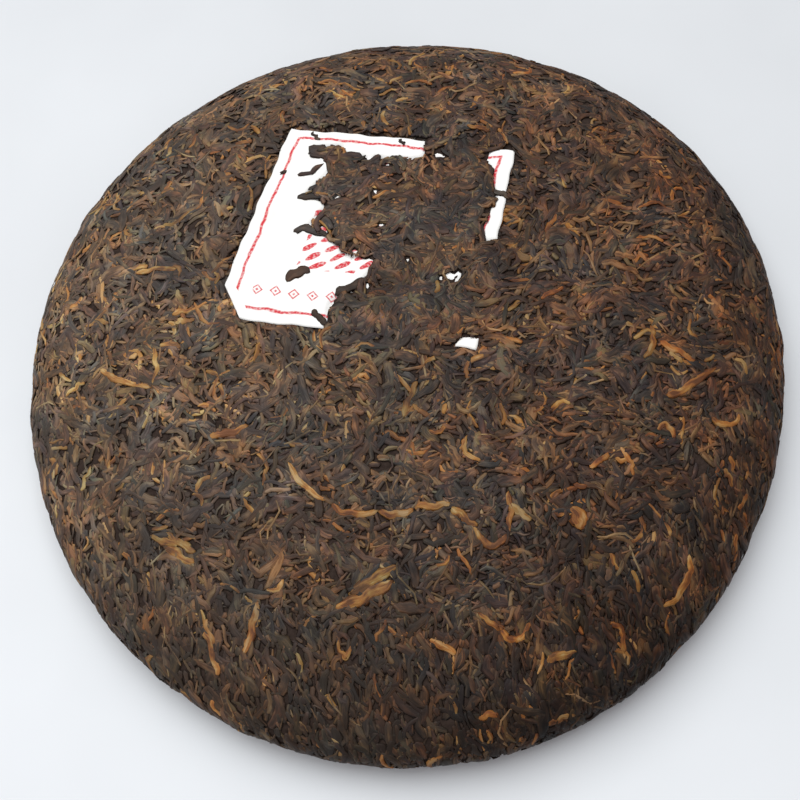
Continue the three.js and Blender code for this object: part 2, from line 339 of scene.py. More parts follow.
class TeaCakeTicket(PropertyGroup):
    """Size and colours of the paper ticket."""

    thickness: length_prop("Thickness", "Thickness of the paper", 0.14 * MM)
    bare_depth: length_prop("Bare Depth", "Depth of the bare paper under the leaves' skin", 0.45 * MM)
    covered_depth: length_prop("Covered Depth", "Depth of the paper where leaves lie over it", 1.15 * MM)
    wrinkle: length_prop("Wrinkle", "Height of the wrinkles pressed into the paper", 0.12 * MM)
    paper: colour_prop("Paper", "Colour of the paper", srgb(246, 244, 240))
    ink: colour_prop("Ink", "Colour of the printed border and marks", srgb(208, 44, 54))


class TeaCakeStage(PropertyGroup):
    """Floor, light and camera."""

    floor: colour_prop("Floor", "Colour of the floor", srgb(229, 231, 233))
    backdrop: colour_prop("Backdrop", "Colour seen behind the floor", srgb(222, 225, 229))
    sky: colour_prop("Sky", "Colour of the soft light all round", (1.0, 0.955, 0.99))
    sky_low: number_prop("Sky Low", "Strength of the light from low in front", 0.1)
    sky_high: number_prop("Sky High", "Strength of the light from above the back", 0.55)
    key_colour: colour_prop("Key Colour", "Colour of the key light", (0.94, 0.985, 1.0))
    key_power: number_prop("Key Power", "Power of the key light", 56, "POWER")
    distance: length_prop("Distance", "Distance from the camera to the look point", 0.3)
    elevation: number_prop("Elevation", "Camera angle above the floor", math.radians(71.17), "ANGLE")
    roll: number_prop("Roll", "Tilt of the camera", math.radians(-10), "ANGLE")
    lens: number_prop("Lens", "Focal length in millimetres", 51.9)


class TeaCakeSettings(PropertyGroup):
    """All sizes and colours of the tea cake."""

    form: PointerProperty(type=TeaCakeForm)
    broken: PointerProperty(type=BrokenLeaves)
    dark: PointerProperty(type=DarkLeaves)
    brown: PointerProperty(type=BrownLeaves)
    golden: PointerProperty(type=GoldenTips)
    stem: PointerProperty(type=TeaStems)
    strand: PointerProperty(type=FineStrands)
    crumb: PointerProperty(type=LeafCrumbs)
    ticket: PointerProperty(type=TeaCakeTicket)
    stage: PointerProperty(type=TeaCakeStage)


# Form of the cake


def bezier(points, steps):
    """Points along a cubic curve."""
    share = np.linspace(0, 1, steps)[:, None]
    rest = 1 - share
    start, first, second, end = np.array(points)
    return rest**3 * start + 3 * rest**2 * share * first + 3 * rest * share**2 * second + share**3 * end


class Section:
    """Half section of the cake: radius and height by reach along it, from the dome's top to the hollow's."""

    def __init__(self, form, steps=240):
        radius, height, rim, foot = form.radius, form.height, form.rim_height, form.foot_outer
        hollow, vault, depth = form.hollow_radius, form.vault_rise, form.hollow_depth
        shoulder = rim + SHOULDER_FULLNESS * (height - rim)
        tuck = foot + TUCK_FULLNESS * (radius - foot)
        lip = (HOLLOW_LIP * hollow, HOLLOW_LIP_RISE * vault)
        crown = (DOME_FULLNESS * radius, height)
        dome = bezier([(0, height), crown, (radius, shoulder), (radius, rim)], steps)
        under = bezier([(radius, rim), (radius, SIDE_FULLNESS * rim), (tuck, 0), (foot, 0)], steps)
        flat = np.array([(form.foot_inner, 0), (hollow, vault)])
        bowl = bezier([(hollow, vault), lip, (HOLLOW_TOP * hollow, depth), (0, depth)], steps)
        points = np.concatenate([dome, under[1:], flat, bowl[1:]])
        step = np.linalg.norm(np.diff(points, axis=0), axis=1)
        self.reach = np.concatenate([[0], np.cumsum(step)])
        self.radius, self.height = points.T
        tangent = np.gradient(points, self.reach, axis=0)
        self.tangent = tangent / np.linalg.norm(tangent, axis=1)[:, None]
        self.dome_end = self.reach[steps - 1]
        self.foot_start = self.reach[2 * steps - 2]
        self.end = self.reach[-1]
        self.area = np.concatenate([[0], np.cumsum(step * (self.radius[1:] + self.radius[:-1]))])

    def at(self, reach):
        """Radius, height and the tangent's two parts at a reach."""
        table = (self.radius, self.height, self.tangent[:, 0], self.tangent[:, 1])
        return tuple(np.interp(reach, self.reach, column) for column in table)

    def spread(self, shares, start, end):
        """Reaches that spread shares from 0 to 1 evenly over the skin between two reaches."""
        low, high = np.interp((start, end), self.reach, self.area)
        return np.interp(low + shares * (high - low), self.area, self.reach)

    def reach_of(self, radius):
        """Reach of a radius on the dome."""
        dome = self.reach <= self.dome_end
        return np.interp(radius, self.radius[dome], self.reach[dome])

    def seats(self, plan):
        """Reach and turn of places on the plan of the dome."""
        return self.reach_of(np.hypot(plan[..., 0], plan[..., 1])), np.arctan2(plan[..., 1], plan[..., 0])

    def unroll(self, reach, turn, plan):
        """Places on the dome's plan as (out, side) from a seat, the way back from lay."""
        seat_radius, _, slope, _ = self.at(reach)
        place_reach, angle = self.seats(plan)
        angle = angle - turn
        spare = 1 / np.cos(angle) - 1
        out = (place_reach - reach - slope * seat_radius * spare) / (1 + slope**2 * spare)
        return np.stack([out, (seat_radius + slope * out) * np.tan(angle)], axis=-1)

    def lay(self, reach, turn, out, side, up):
        """Points on the skin: out along the section and side round it from a seat, up along the normal."""
        seat_radius, _, slope, _ = self.at(reach)
        plan = seat_radius + slope * out
        angle = turn + np.arctan2(side, plan)
        radius, height, run, rise = self.at(reach + out + slope * (np.hypot(plan, side) - plan))
        radius = radius - rise * up
        return np.stack([radius * np.cos(angle), radius * np.sin(angle), height + run * up], axis=-1)


def uneven(points, form):
    """The packed part's unevenness, none at the floor."""
    angle = np.arctan2(points[..., 1], points[..., 0])
    out = np.hypot(points[..., 0], points[..., 1]) / form.radius
    waves = RIM_WAVES + FINE_WAVES
    swell = sum(size * np.cos(count * (angle - math.radians(peak))) for count, size, peak in waves)
    spread = 1 + swell / form.radius * out**2
    count, share, peak = DOME_WAVE
    rise = 1 + share * np.cos(count * (angle - math.radians(peak))) * out
    return points * np.stack([spread, spread, rise], axis=-1)


def to_ticket(points):
    """Places on the cake's plan as places in the ticket's plane, in millimetres."""
    x = points[..., 0] / MM - TICKET_CENTRE[0]
    y = points[..., 1] / MM - TICKET_CENTRE[1]
    cos, sin = math.cos(TICKET_TURN), math.sin(TICKET_TURN)
    return np.stack([cos * x + sin * y, cos * y - sin * x], axis=-1)


def from_ticket(places):
    """Places in the ticket's plane, in millimetres, as places on the cake's plan."""
    x, y = places[..., 0], places[..., 1]
    cos, sin = math.cos(TICKET_TURN), math.sin(TICKET_TURN)
    plan_x = cos * x - sin * y + TICKET_CENTRE[0]
    plan_y = sin * x + cos * y + TICKET_CENTRE[1]
    return MM * np.stack([plan_x, plan_y], axis=-1)


def in_metres(places):
    """Places on the cake's plan in millimetres as such places in metres."""
    return MM * places


def inside(places, outline):
    """Which places lie inside a closed outline."""
    x, y = places[..., 0], places[..., 1]
    found = np.zeros(x.shape, bool)
    for (x0, y0), (x1, y1) in zip(outline, outline[1:] + outline[:1]):
        crosses = (y0 > y) != (y1 > y)
        if y0 != y1:
            found ^= crosses & (x < (x1 - x0) * (y - y0) / (y1 - y0) + x0)
    return found


def bare_paper(places):
    """Which places in the ticket's plane show paper with no leaves over it."""
    return inside(places, TICKET_OUTLINE) & ~inside(places, COVER_OUTLINE)


def over_speck(lines, widths):
    """Which strips, by their middle lines in the ticket's plane, lie over a speck of paper."""
    start, along = lines[:, :-1], np.diff(lines, axis=1)
    found = np.zeros(len(lines), bool)
    for x, y, radius in PAPER_SPECKS:
        gap = np.array((x, y)) - start
        share = np.clip((gap * along).sum(axis=2) / (along**2).sum(axis=2), 0, 1)
        away = np.linalg.norm(gap - share[..., None] * along, axis=2).min(axis=1)
        found |= away < 0.5 * widths + SPECK_KEPT * radius
    return found


def paper_speck(places):
    """Which places in the ticket's plane lie in a small speck of paper."""
    found = np.zeros(places.shape[:-1], bool)
    for x, y, radius in PAPER_SPECKS:
        found |= np.hypot(places[..., 0] - x, places[..., 1] - y) < radius
    return found


def near_bare(places, reach, ways=8):
    """Share of the places within reach that show bare paper, from 0 to 1."""
    turns = np.linspace(0, 2 * math.pi, ways + 1)
    nudges = [(0, 0)] + [(reach * math.cos(turn), reach * math.sin(turn)) for turn in turns[1:]]
    nearby = [places[..., :2] + nudge for nudge in nudges]
    return np.mean([bare_paper(place) + SPECK_WEIGHT * paper_speck(place) for place in nearby], axis=0)


# Leaf strips


@dataclass
class Strips:
    """Leaf strips as arrays with one row a strip. The line holds (out, side) places from the seat."""

    reach: np.ndarray
    turn: np.ndarray
    line: np.ndarray
    width: np.ndarray
    thickness: np.ndarray
    lift: np.ndarray
    limit: np.ndarray
    twist: np.ndarray
    point: np.ndarray
    tone: np.ndarray

    def pick(self, chosen):
        return Strips(*(getattr(self, field.name)[chosen] for field in fields(self)))


def join(*groups):
    """Several groups of strips as one."""
    columns = ([getattr(group, field.name) for group in groups] for field in fields(Strips))
    return Strips(*map(np.concatenate, columns))


def flow(section, reach, turn):
    """Direction that leaves near a place tend to share, measured from the outward direction."""
    radius = section.at(reach)[0]
    x, y = radius * np.cos(turn), radius * np.sin(turn)
    plan = sum(
        FLOW_SIZE * np.sin(pace * along + bend * np.sin(bend_pace * across) + start)
        for (pace, bend, bend_pace, start), (along, across) in zip(FLOW_WAVES, ((x, y), (y, x)))
    )
    return plan - turn


def spread_seats(rng, section, count, start, end):
    """Seats spread evenly over the skin between two reaches."""
    order = np.arange(count)
    reach = section.spread((order + rng.random(count)) / count, start, end)
    return reach, order * GOLDEN_ANGLE + rng.normal(0, SEAT_SWING, count)


def cover_seats(rng, section, count):
    """Seats spread over the leaves that cover the ticket."""
    places = rng.uniform(*COVER_BOX, (COVER_TRIES * count, 2))
    covered = inside(places, COVER_OUTLINE) & inside(places, TICKET_OUTLINE)
    return section.seats(from_ticket(places[covered][:count]))


def thin_front(rng, section, kind, seats):
    """Seats with some left out in front and on the right, by the kind's share there."""
    reach, turn = seats
    toward = section.at(reach)[0] * np.maximum(np.cos(turn), -np.sin(turn))
    near = np.clip((toward - THIN_START) / THIN_SPAN, 0, 1)
    kept = rng.random(len(reach)) > near * (1 - kind.front_share)
    return reach[kept], turn[kept]


def draw_strips(rng, section, kind, seats, steps=STEPS):
    """Strips at the given seats: along the flow, at the rim mostly round it, and in front up and down it."""
    reach, turn = seats
    count = len(reach)
    out = reach / section.dome_end
    in_front = np.minimum(np.sin(turn), 0)
    rim = np.clip((out - RIM_START - FRONT_RIM * in_front) / RIM_SPAN, 0, 1)
    rim *= np.clip((section.foot_start - reach) / FOOT_FADE + 1, 0, 1)
    free = flow(section, reach, turn) + rng.normal(0, FLOW_SWING, count)
    around = math.pi / 2 - np.where(in_front < 0, turn, 0) + rng.normal(0, RIM_SWING, count)
    heading = np.where(rng.random(count) < rim, around, free)
    length = kind.shortest + (kind.longest - kind.shortest) * rng.beta(*LENGTH_DRAW, count)
    width = kind.narrowest + (kind.widest - kind.narrowest) * rng.beta(*WIDTH_DRAW, count)
    bow = length * np.clip(kind.curl * rng.standard_t(CURL_FREEDOM, count), -MOST_CURL, MOST_CURL)
    sway = length * rng.normal(0, SWAY_SPREAD, count)
    along = 0.5 * length[:, None] * steps
    across = bow[:, None] * (1 - steps**2) + sway[:, None] * np.sin(math.pi * steps)
    cos, sin = np.cos(heading)[:, None], np.sin(heading)[:, None]
    edge = np.clip((out - LOOSE_START) / LOOSE_SPAN, 0, 1) * (reach < section.foot_start)
    loose = LOOSE_LIFT * edge * rng.random(count) ** 3
    return Strips(
        reach=reach,
        turn=turn,
        line=np.stack([along * cos - across * sin, along * sin + across * cos], axis=-1),
        width=width,
        thickness=kind.thickness * rng.uniform(*THICKNESS_RANGE, count),
        lift=rng.uniform(*LIFT_RANGE, count) * MM + loose,
        limit=rng.uniform(*LIMIT_RANGE, count) * MM + loose,
        twist=np.stack([rng.normal(0, spread, count) for spread in (LEAN_SPREAD, TWIST_SPREAD)], axis=-1),
        point=rng.uniform(*POINT_RANGE, count),
        tone=rng.beta(*TONE_DRAW, count),
    )


def trace_strips(rng, section, kind, traces, lift, points):
    """Strips along traced lines: each trace has three places on the plan, a width and a tone."""
    count = len(traces)
    start, middle, end = (np.array([trace[index] for trace in traces])[:, None] for index in range(3))
    share = TRACE_STEPS[:, None]
    curve = middle + 0.5 * (end - start) * share + (0.5 * (end + start) - middle) * share**2
    phase = rng.uniform(0, 2 * math.pi, (count, 1, 2))
    width = MM * np.array([trace[3] for trace in traces])
    waver = TRACE_WAVER * np.minimum(MM / width, 1)[:, None, None]
    slow, fast = WAVER_PACES
    curve += waver * (np.sin(slow * share + phase) + 0.5 * np.sin(fast * share + 2 * phase))
    reach, turn = section.seats(middle[:, 0])
    return Strips(
        reach=reach,
        turn=turn,
        line=section.unroll(reach[:, None], turn[:, None], curve),
        width=width,
        thickness=np.full(count, kind.thickness),
        lift=np.full(count, lift),
        limit=lift + rng.uniform(*TRACE_LIMIT_RANGE, count) * MM,
        twist=rng.normal(0, LEAN_SPREAD, (count, 2)),
        point=rng.uniform(*points, count),
        tone=np.array([trace[4] for trace in traces]),
    )


def aside(lines, *steps):
    """Unit directions across lines of places."""
    ahead = np.gradient(lines, *steps, axis=1)
    ahead /= np.linalg.norm(ahead, axis=2)[..., None]
    return np.stack([-ahead[..., 1], ahead[..., 0]], axis=-1)


def strip_points(section, form, strips, rng, steps=STEPS):
    """Points of each strip as (strip, step, cut point, xyz)."""
    count = len(strips.reach)
    fullness = np.clip(1 - np.abs(steps) ** TAPER_POWER, 0, 1) ** strips.point[:, None]
    weights = np.clip(1 - KNOT_PACE * np.abs(steps - EDGE_KNOTS[:, None]), 0, 1)
    edges = np.einsum("ske,kn->sne", rng.uniform(*EDGE_RANGE, (count, len(EDGE_KNOTS), 2)), weights)
    across = 0.5 * strips.width[:, None, None] * fullness[..., None] * edges[..., CUT_EDGE] * CUT[:, 0]
    flat = strips.line[:, :, None, :] + across[..., None] * aside(strips.line, steps)[:, :, None, :]
    ridge = CUT[:, 1] * rng.uniform(*RIDGE_RANGE, (count, len(steps), len(CUT)))
    tall = 0.5 * strips.thickness[:, None] * np.sqrt(fullness)
    lean = strips.twist[:, :1] + strips.twist[:, 1:] * steps
    up = strips.lift[:, None, None] + tall[..., None] * ridge + across * np.tan(lean)[..., None]
    limit = strips.limit[:, None, None]
    pressed = limit - PRESS_SOFTNESS * np.logaddexp(0, (limit - up) / PRESS_SOFTNESS)
    points = section.lay(
        strips.reach[:, None, None], strips.turn[:, None, None], flat[..., 0], flat[..., 1], pressed
    )
    points = uneven(points, form)
    points[..., 2] = np.maximum(points[..., 2], FLOOR_GAP)
    return points


def strip_faces(rings, sides):
    """Faces of one closed strip with two tips, and each corner's place on its unrolled skin."""
    quads, quad_map, tips, tip_map = [], [], [], []
    last = rings + 1

    def spot(ring, side):
        return 2 + ring * sides + side % sides

    for side in range(sides):
        after = side + 1
        near, far = side / sides, after / sides
        middle = (near + far) / 2
        tips += [(0, spot(0, side), spot(0, after)), (1, spot(rings - 1, after), spot(rings - 1, side))]
        tip_map += [((middle, 0), (near, 1 / last), (far, 1 / last))]
        tip_map += [((middle, 1), (far, rings / last), (near, rings / last))]
        for ring in range(rings - 1):
            low, high = (ring + 1) / last, (ring + 2) / last
            quads.append((spot(ring, side), spot(ring + 1, side), spot(ring + 1, after), spot(ring, after)))
            quad_map.append(((near, low), (near, high), (far, high), (far, low)))
    return (np.array(quads), np.array(quad_map)), (np.array(tips), np.array(tip_map))


def store(mesh, name, kind, key, values):
    """Keeps a value for each of a mesh's vertices, for its material."""
    attribute = mesh.attributes.new(name, kind, "POINT")
    attribute.data.foreach_set(key, values.astype(np.float32).ravel())


def leaf_object(name, section, form, strips, rng, steps=STEPS):
    """One mesh of many closed strips, with tone and grain for the material and a map for baking."""
    points = strip_points(section, form, strips, rng, steps)
    count, rings, sides = len(points), len(steps) - 2, len(CUT)
    order = np.arange(count)
    corners = points[:, 1:-1].reshape(count, rings * sides, 3)
    tips = points[:, (0, -1)].mean(axis=2)
    vertices = np.concatenate([tips, corners], axis=1)
    shift = (order * vertices.shape[1])[:, None, None]
    grid = math.ceil(math.sqrt(count))
    cell = np.stack([order % grid, order // grid], axis=-1)[:, None, None, :]
    faces, places = [], []
    for template, template_map in strip_faces(rings, sides):
        faces += (template + shift).reshape(-1, template.shape[1]).tolist()
        in_cell = BAKE_MARGIN + (1 - 2 * BAKE_MARGIN) * template_map
        places.append(((cell + in_cell) / grid).reshape(-1, 2))
    mesh = bpy.data.meshes.new(name)
    mesh.from_pydata(vertices.reshape(-1, 3).tolist(), [], faces)
    bake = mesh.uv_layers.new(name="OFBake")
    bake.uv.foreach_set("vector", np.concatenate(places).astype(np.float32).ravel())
    span = np.linalg.norm(np.diff(strips.line, axis=1), axis=2)
    along = np.concatenate([np.zeros((count, 1)), np.cumsum(span, axis=1)], axis=1) / MM
    across = np.broadcast_to(CUT[:, 0], (count, rings, sides)).reshape(count, -1)
    grain = np.zeros((count, vertices.shape[1], 3))
    grain[:, 0, 0], grain[:, 1, 0] = along[:, 0], along[:, -1]
    grain[:, 2:, 0] = np.repeat(along[:, 1:-1], sides, axis=1)
    grain[:, 2:, 1] = across * strips.width[:, None] / (2 * MM)
    grain[..., 2] = (order * GRAIN_STEP)[:, None]
    store(mesh, "grain", "FLOAT_VECTOR", "vector", grain)
    store(mesh, "tone", "FLOAT", "value", np.repeat(strips.tone, vertices.shape[1]))
    mesh.shade_smooth()
    leaves = bpy.data.objects.new(name, mesh)
    bpy.context.scene.collection.objects.link(leaves)
    return leaves


def footprint(section, form, strips):
    """Places in the ticket's plane of each strip's middle line and its two long edges."""
    half = 0.5 * strips.width[:, None, None] * aside(strips.line)
    lines = np.stack([strips.line - half, strips.line, strips.line + half], axis=2)
    level = np.zeros(lines.shape[:3])
    seats = (strips.reach[:, None, None], strips.turn[:, None, None])
    return to_ticket(uneven(section.lay(*seats, lines[..., 0], lines[..., 1], level), form))


def clear_ticket(section, form, strips):
    """Moves strips off the ticket's outer edge, and drops those that would lie on bare paper."""
    corners = np.array(TICKET_OUTLINE)
    sides = np.roll(corners, -1, axis=0) - corners
    outward = np.stack([-sides[:, 1], sides[:, 0]], axis=-1) / np.linalg.norm(sides, axis=1)[:, None]
    places = footprint(section, form, strips)
    middle = places[:, places.shape[1] // 2, 1]
    away = ((middle[:, None] - corners) * outward).sum(axis=2)
    side = away.argmax(axis=1)
    outside = away.max(axis=1) > 0
    on_top = strips.reach < section.dome_end
    across = bare_paper(places).any(axis=(1, 2)) & on_top & outside
    inward = (corners[side][:, None, None] - places) * outward[side][:, None, None]
    depth = inward.sum(axis=3).max(axis=(1, 2))
    under = strips.pick(across)
    under.lift = under.lift - UNDER_PAPER
    under.limit = under.limit - UNDER_PAPER
    moved = from_ticket(middle + np.where(across, depth, 0)[:, None] * outward[side])
    reach, turn = section.seats(moved)
    strips.reach = np.where(across, reach, strips.reach)
    strips.turn = np.where(across, turn, strips.turn)
    places = footprint(section, form, strips)
    bare = bare_paper(places).mean(axis=(1, 2)) + over_speck(places[:, :, 1], strips.width / MM)
    allowed = np.where(outside, OUTSIDE_OVERLAP, INSIDE_OVERLAP)
    return join(under, strips.pick(~on_top | (bare < allowed)))


# Materials


class Nodes:
    """Node tree of a new material or world, with short ways to add and join nodes."""

    bump_strength = 0.6
    usual_noise = (0.3, 0.7)

    def __init__(self, owner):
        owner.use_nodes = True
        self.owner = owner
        self.tree = owner.node_tree

    def fill(self, node, inputs):
        """Sets a node's inputs, with a link for what comes from another node."""
        for key, value in inputs.items():
            if isinstance(value, bpy.types.NodeSocket):
                self.tree.links.new(value, node.inputs[key])
            else:
                node.inputs[key].default_value = value
        return node

    def add(self, kind, inputs=(), **values):
        node = self.tree.nodes.new(kind)
        for key, value in values.items():
            setattr(node, key, value)
        return self.fill(node, dict(inputs))

    def place(self):
        return self.add("ShaderNodeTexCoord").outputs["Object"]

    def attribute(self, name):
        return self.add("ShaderNodeAttribute", attribute_name=name).outputs

    def parts(self, vector):
        return self.add("ShaderNodeSeparateXYZ", {"Vector": vector}).outputs

    def math(self, operation, *values):
        return self.add("ShaderNodeMath", dict(enumerate(values)), operation=operation).outputs["Value"]

    def vector(self, operation, *values):
        return self.add("ShaderNodeVectorMath", dict(enumerate(values)), operation=operation).outputs

    def along(self, vector, way):
        return self.vector("DOT_PRODUCT", vector, way)["Value"]

    def tinted(self, colour, tint):
        return self.vector("MULTIPLY", colour, tint)["Vector"]

    def times(self, colour, factor):
        inputs = {"Vector": colour, "Scale": factor}
        return self.add("ShaderNodeVectorMath", inputs, operation="SCALE").outputs["Vector"]

    def scaled(self, vector, scale):
        return self.add("ShaderNodeMapping", {"Vector": vector, "Scale": scale}).outputs["Vector"]

    def mix(self, factor, first, second):
        return self.add("ShaderNodeMix", {0: factor, 6: first, 7: second}, data_type="RGBA").outputs[2]

    def ramp(self, factor, stops):
        node = self.add("ShaderNodeValToRGB", {"Fac": factor})
        bar = node.color_ramp.elements
        while len(bar) < len(stops):
            bar.new(1)
        for stop, (place, colour) in zip(bar, stops):
            stop.position = place
            stop.color = (*colour, 1)
        return node.outputs["Color"]

    def even_ramp(self, factor, colours):
        last = len(colours) - 1
        return self.ramp(factor, [(step / last, colour) for step, colour in enumerate(colours)])

    def noise(self, vector, scale, detail=2, rough=0.5):
        inputs = {"Vector": vector, "Scale": scale, "Detail": detail, "Roughness": rough}
        return self.add("ShaderNodeTexNoise", inputs).outputs["Fac"]

    def span(self, value, low, high, new_low, new_high):
        inputs = {"Value": value, "From Min": low, "From Max": high, "To Min": new_low, "To Max": new_high}
        return self.add("ShaderNodeMapRange", inputs).outputs["Result"]

    def vary(self, noise, low, high):
        return self.span(noise, *self.usual_noise, low, high)

    def finish(self, colour, roughness, height, depth, shine=0.5):
        """Joins a material's colour, roughness, bump and shine to its shader."""
        relief = {"Height": height, "Strength": self.bump_strength, "Distance": depth}
        bump = self.add("ShaderNodeBump", relief)
        surface = {
            "Base Color": colour,
            "Roughness": roughness,
            "Normal": bump.outputs["Normal"],
            "Specular IOR Level": shine,
        }
        self.fill(self.tree.nodes["Principled BSDF"], surface)
        return self.owner


def new_material(name):
    return Nodes(bpy.data.materials.new(name))


# Change of the leaves' colours over the cake, partly their own tone and partly painted light and shade: ramps
# of tints, and stretches of it as (start, end)
# Left to right, lighter and greyer to darker and warmer: partly the leaves' own tone, partly painted light on
# the left and painted shade on the right
SIDE_TONE_AND_SHADE_TINTS = ((1.06, 1.07, 1.08), (0.83, 0.75, 0.71), (0.72, 0.53, 0.41))
SIDE_STRETCH = (-100 * MM, 100 * MM)
# Painted shade in front and painted light towards the back: a ramp from front to back
PAINTED_FRONT_SHADE_TINT = (1.04, 0.96, 0.93)
PAINTED_FRONT_TO_BACK_STOPS = ((0.42, (1.0, 1.0, 1.0)), (1, (1.04, 1.04, 1.04)))
FRONT_STRETCH = (-98 * MM, 90 * MM)
SPOT_STOPS = ((0.38, (0.63, 0.83, 1.01)), (0.62, (1.09, 0.925, 0.66)))
SPOT_PACE = 100
EVEN_SPOT = (0.87, 0.88, 0.8, 1)
CLOUD_PACE = 45
CLOUD_NOISE = (0.35, 0.65)
CLOUD_RANGE = (1.4, 2.16)
# Painted shade near the rim, strongest on the right
RIM_SHADE_STRETCH = (92 * MM, 101 * MM)
RIM_SHADE_SIDE_STRETCH = (-20 * MM, 50 * MM)
RIM_SHADE = 0.4
# Light greyish colour mixed in on the left: partly dust, partly painted sheen
DUST_AND_SHEEN = (*srgb(118, 101, 85), 1)
DUST_AND_SHEEN_STRETCH = (-100 * MM, 20 * MM)
DUST_AND_SHEEN_SHARE = 0.17


def leaf_tone_and_painted_light(nodes, kind, place, colour):
    """A leaf colour as it changes over the cake: dusty on the left, warm on the right, dark in front."""
    x, y, _ = nodes.parts(place)
    away = nodes.vector("LENGTH", place)["Value"]
    # Painted light on the left and painted shade on the right, mixed with the leaves' own warmer tone there
    side = nodes.even_ramp(nodes.span(x, *SIDE_STRETCH, 0, 1), SIDE_TONE_AND_SHADE_TINTS)
    spots = nodes.ramp(nodes.noise(place, SPOT_PACE, 3, 0.6), SPOT_STOPS)
    spots = nodes.mix(kind.tint, EVEN_SPOT, spots)
    # Painted shade, darkest at the front edge, and painted light towards the back
    first = (0, tuple(kind.front_tone * share for share in PAINTED_FRONT_SHADE_TINT))
    front = nodes.ramp(nodes.span(y, *FRONT_STRETCH, 0, 1), (first, *PAINTED_FRONT_TO_BACK_STOPS))
    cloud = nodes.span(nodes.noise(place, CLOUD_PACE), *CLOUD_NOISE, *CLOUD_RANGE)
    # Painted shade near the rim, strongest on the right
    rim = nodes.span(away, *RIM_SHADE_STRETCH, 0, 1)
    shade = nodes.math("MULTIPLY", rim, nodes.span(x, *RIM_SHADE_SIDE_STRETCH, 0, RIM_SHADE))
    for tint in (side, spots, front):
        colour = nodes.tinted(colour, tint)
    for share in (cloud, nodes.math("SUBTRACT", 1, shade)):
        colour = nodes.times(colour, share)
    # Dust and painted sheen on the left
    return nodes.mix(nodes.span(x, *DUST_AND_SHEEN_STRETCH, DUST_AND_SHEEN_SHARE, 0), colour, DUST_AND_SHEEN)


# Pattern of the leaves: paces of its noises, and how far they shift a strip's tone and brightness
STRIP_TINTS = (  # greenish, bluish, plain, purplish and reddish
    (0.86, 1.05, 0.84), (0.82, 0.98, 1.14), (1.0, 0.97, 0.9), (1.07, 0.88, 1.02), (1.14, 0.95, 0.8)
)
PLAIN = (1, 1, 1, 1)
CLUMP_PACE = 140
PATCH_SCALE = (0.3, 0.7, 1)
FIBRE_SCALE = (0.24, 2.4, 1)
CLUMP_SHIFT = 0.3
FIBRE_SHIFT = 0.18
MOTTLE = 0.44
STRONG_MOTTLE = 0.62
CLUMP_NOISE = (0.35, 0.65)
CLUMP_RANGE = (0.84, 1.16)
FIBRE_NOISE = (0.36, 0.64)
FIBRE_RANGE = (0.87, 1.13)
LEAF_ROUGHNESS = (0.68, 0.46)
LEAF_SHINE = 0.18
FIBRE_DEPTH = 0.2 * MM


def leaf_finish(name, kind, mottle=MOTTLE):
    """Dry leaf: five tones over the strips, dark clumps, patches along a strip, and fine fibres."""
    nodes = new_material(name)
    place = nodes.place()
    tone = nodes.attribute("tone")["Fac"]
    grain = nodes.attribute("grain")["Vector"]
    clumps = nodes.noise(place, CLUMP_PACE)
    patches = nodes.noise(nodes.scaled(grain, PATCH_SCALE), 1)
    fibres = nodes.noise(nodes.scaled(grain, FIBRE_SCALE), 1, 3, 0.55)
    for pattern, amount in ((clumps, CLUMP_SHIFT), (patches, mottle), (fibres, FIBRE_SHIFT)):
        tone = nodes.math("ADD", tone, nodes.vary(pattern, -amount, amount))
    colour = nodes.even_ramp(tone, [getattr(kind, key) for key in TONES])
    strip = nodes.parts(grain)["Z"]
    chance = nodes.add("ShaderNodeTexWhiteNoise", {"W": strip}, noise_dimensions="1D").outputs["Value"]
    hue = nodes.mix(kind.tint, PLAIN, nodes.even_ramp(chance, STRIP_TINTS))
    colour = nodes.tinted(colour, hue)
    colour = nodes.times(colour, nodes.span(fibres, *FIBRE_NOISE, *FIBRE_RANGE))
    colour = nodes.times(colour, nodes.span(clumps, *CLUMP_NOISE, *CLUMP_RANGE))
    colour = leaf_tone_and_painted_light(nodes, kind, place, colour)
    return nodes.finish(colour, nodes.vary(fibres, *LEAF_ROUGHNESS), fibres, FIBRE_DEPTH, LEAF_SHINE)


def core_finish(form, pace=900, deep_share=0.6, depth=0.4 * MM, shine=0.1):
    """Dark mass seen in the cracks between the leaves."""
    nodes = new_material("core_mass")
    lumps = nodes.noise(nodes.place(), pace, 3, 0.6)
    deep = tuple(deep_share * value for value in form.core_colour)
    low, high = nodes.usual_noise
    colour = nodes.ramp(lumps, ((low, deep), (high, form.core_colour)))
    return nodes.finish(colour, nodes.vary(lumps, 0.9, 0.7), lumps, depth, shine)


# Print on the paper, in millimetres in its plane: middles and half sizes as (x, y)
INK_BLUR = 0.16
INK_WOBBLE = 0.5
BORDER_MIDDLE = (-0.2, 0.5)
BORDER_HALF = (27.6, 26.2)
BORDER_LINE = 0.38
BORDER_CUT = -34.6  # along the leaf marks, from the ticket's middle to its cut corner
MARKS_MIDDLE = (-3.0, 4.0)
MARKS_HALF = (12.5, 17.0)
MARK_WAYS = ((0.8, 0.6, 0), (-0.6, 0.8, 0))  # along and across the leaf marks
MARK_GAPS = (2.6, 1.5)
MARK_HALVES = (2.2, 0.8)
MARK_FULLNESS = 0.9
ROW_HEIGHT = -20.4
ROW_HALF = 24.0
LOZENGE_GAP = 2.3
LOZENGE_HALF = 1.25
LOZENGE_LINE = 0.22
LOZENGE_DOT = 0.4
INK_WEAR = (0.3, 0.55, 0.45, 1)
STAIN_TINT = (0.94, 0.91, 0.86)
STAIN_NOISE = (0.45, 0.8)


